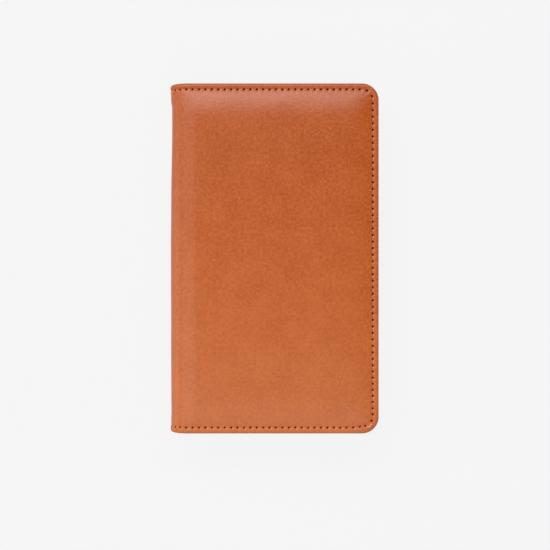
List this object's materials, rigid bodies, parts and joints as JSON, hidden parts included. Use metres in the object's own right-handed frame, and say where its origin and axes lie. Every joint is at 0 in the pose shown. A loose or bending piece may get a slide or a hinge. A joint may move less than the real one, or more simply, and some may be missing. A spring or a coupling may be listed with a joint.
{
  "type": "compact ring binder",
  "caption": "Compact closed ring binder with padded stitched leather covers and spine, and a sprung ring mechanism with end levers on the spine's inner face.",
  "frame": {"origin": "bottom centre of the closed binder's box, on the surface that its back cover lies on", "axes": "+X from the spine to the fore-edge, +Y along the spine to the head, +Z from the back cover up to the front cover"},
  "size_m": [0.1132, 0.19, 0.0316],
  "materials": {
    "tan_leather": "smooth semi-matt tan leather",
    "lining_leather": "matt tan lining leather",
    "foam": "soft padding",
    "board": "raw grey board",
    "nickel": "bright nickel plate"
  },
  "bodies": {
    "back_cover": {"back_skin": "tan_leather", "back_pad": "foam", "back_board": "board", "back_infill_card": "board", "back_lining": "lining_leather", "back_slip_pocket": "lining_leather"},
    "spine": {"spine_skin": "tan_leather", "spine_stiffener": "board", "spine_lining": "lining_leather", "ring_housing": "nickel", "rivet_top": "nickel", "rivet_bottom": "nickel", "lever_pin_top": "nickel", "lever_pin_bottom": "nickel"},
    "front_cover": {"front_skin": "tan_leather", "front_pad": "foam", "front_board": "board", "front_infill_card": "board", "front_lining": "lining_leather", "front_card_pocket_upper": "lining_leather", "front_card_pocket_middle": "lining_leather", "front_card_pocket_lower": "lining_leather"},
    "front_ring_blade": {"front_blade": "nickel", "front_half_ring_1": "nickel", "front_half_ring_2": "nickel", "front_half_ring_3": "nickel", "front_half_ring_4": "nickel", "front_half_ring_5": "nickel", "front_half_ring_6": "nickel"},
    "back_ring_blade": {"back_blade": "nickel", "back_half_ring_1": "nickel", "back_half_ring_2": "nickel", "back_half_ring_3": "nickel", "back_half_ring_4": "nickel", "back_half_ring_5": "nickel", "back_half_ring_6": "nickel"},
    "top_lever": {"lever_top": "nickel"},
    "bottom_lever": {"lever_bottom": "nickel"}
  },
  "joints": [
    {"name": "spine_hinge", "type": "hinge", "parent": "back_cover", "child": "spine", "pos_m": [-0.0544, 0, 0.0039], "axis": [0, -1, 0], "range_deg": [0, 90]},
    {"name": "cover_hinge", "type": "hinge", "parent": "spine", "child": "front_cover", "pos_m": [-0.0544, 0, 0.02769], "axis": [0, -1, 0], "range_deg": [0, 90]},
    {"name": "front_rings_open", "type": "hinge", "parent": "spine", "child": "front_ring_blade", "pos_m": [-0.0506, 0, 0.02179], "axis": [0, -1, 0], "range_deg": [0, 15]},
    {"name": "back_rings_open", "type": "hinge", "parent": "spine", "child": "back_ring_blade", "pos_m": [-0.0506, 0, 0.00979], "axis": [0, 1, 0], "range_deg": [0, 15]},
    {"name": "top_lever_press", "type": "hinge", "parent": "spine", "child": "top_lever", "pos_m": [-0.0509, 0.0742, 0.01579], "axis": [0, 0, 1], "range_deg": [0, 20]},
    {"name": "bottom_lever_press", "type": "hinge", "parent": "spine", "child": "bottom_lever", "pos_m": [-0.0509, -0.0742, 0.01579], "axis": [0, 0, -1], "range_deg": [0, 20]}
  ],
  "couplings": [
    {"joint": "back_rings_open", "follows": "front_rings_open", "ratio": 1},
    {"joint": "top_lever_press", "follows": "front_rings_open", "ratio": 1.3333},
    {"joint": "bottom_lever_press", "follows": "front_rings_open", "ratio": 1.3333}
  ]
}
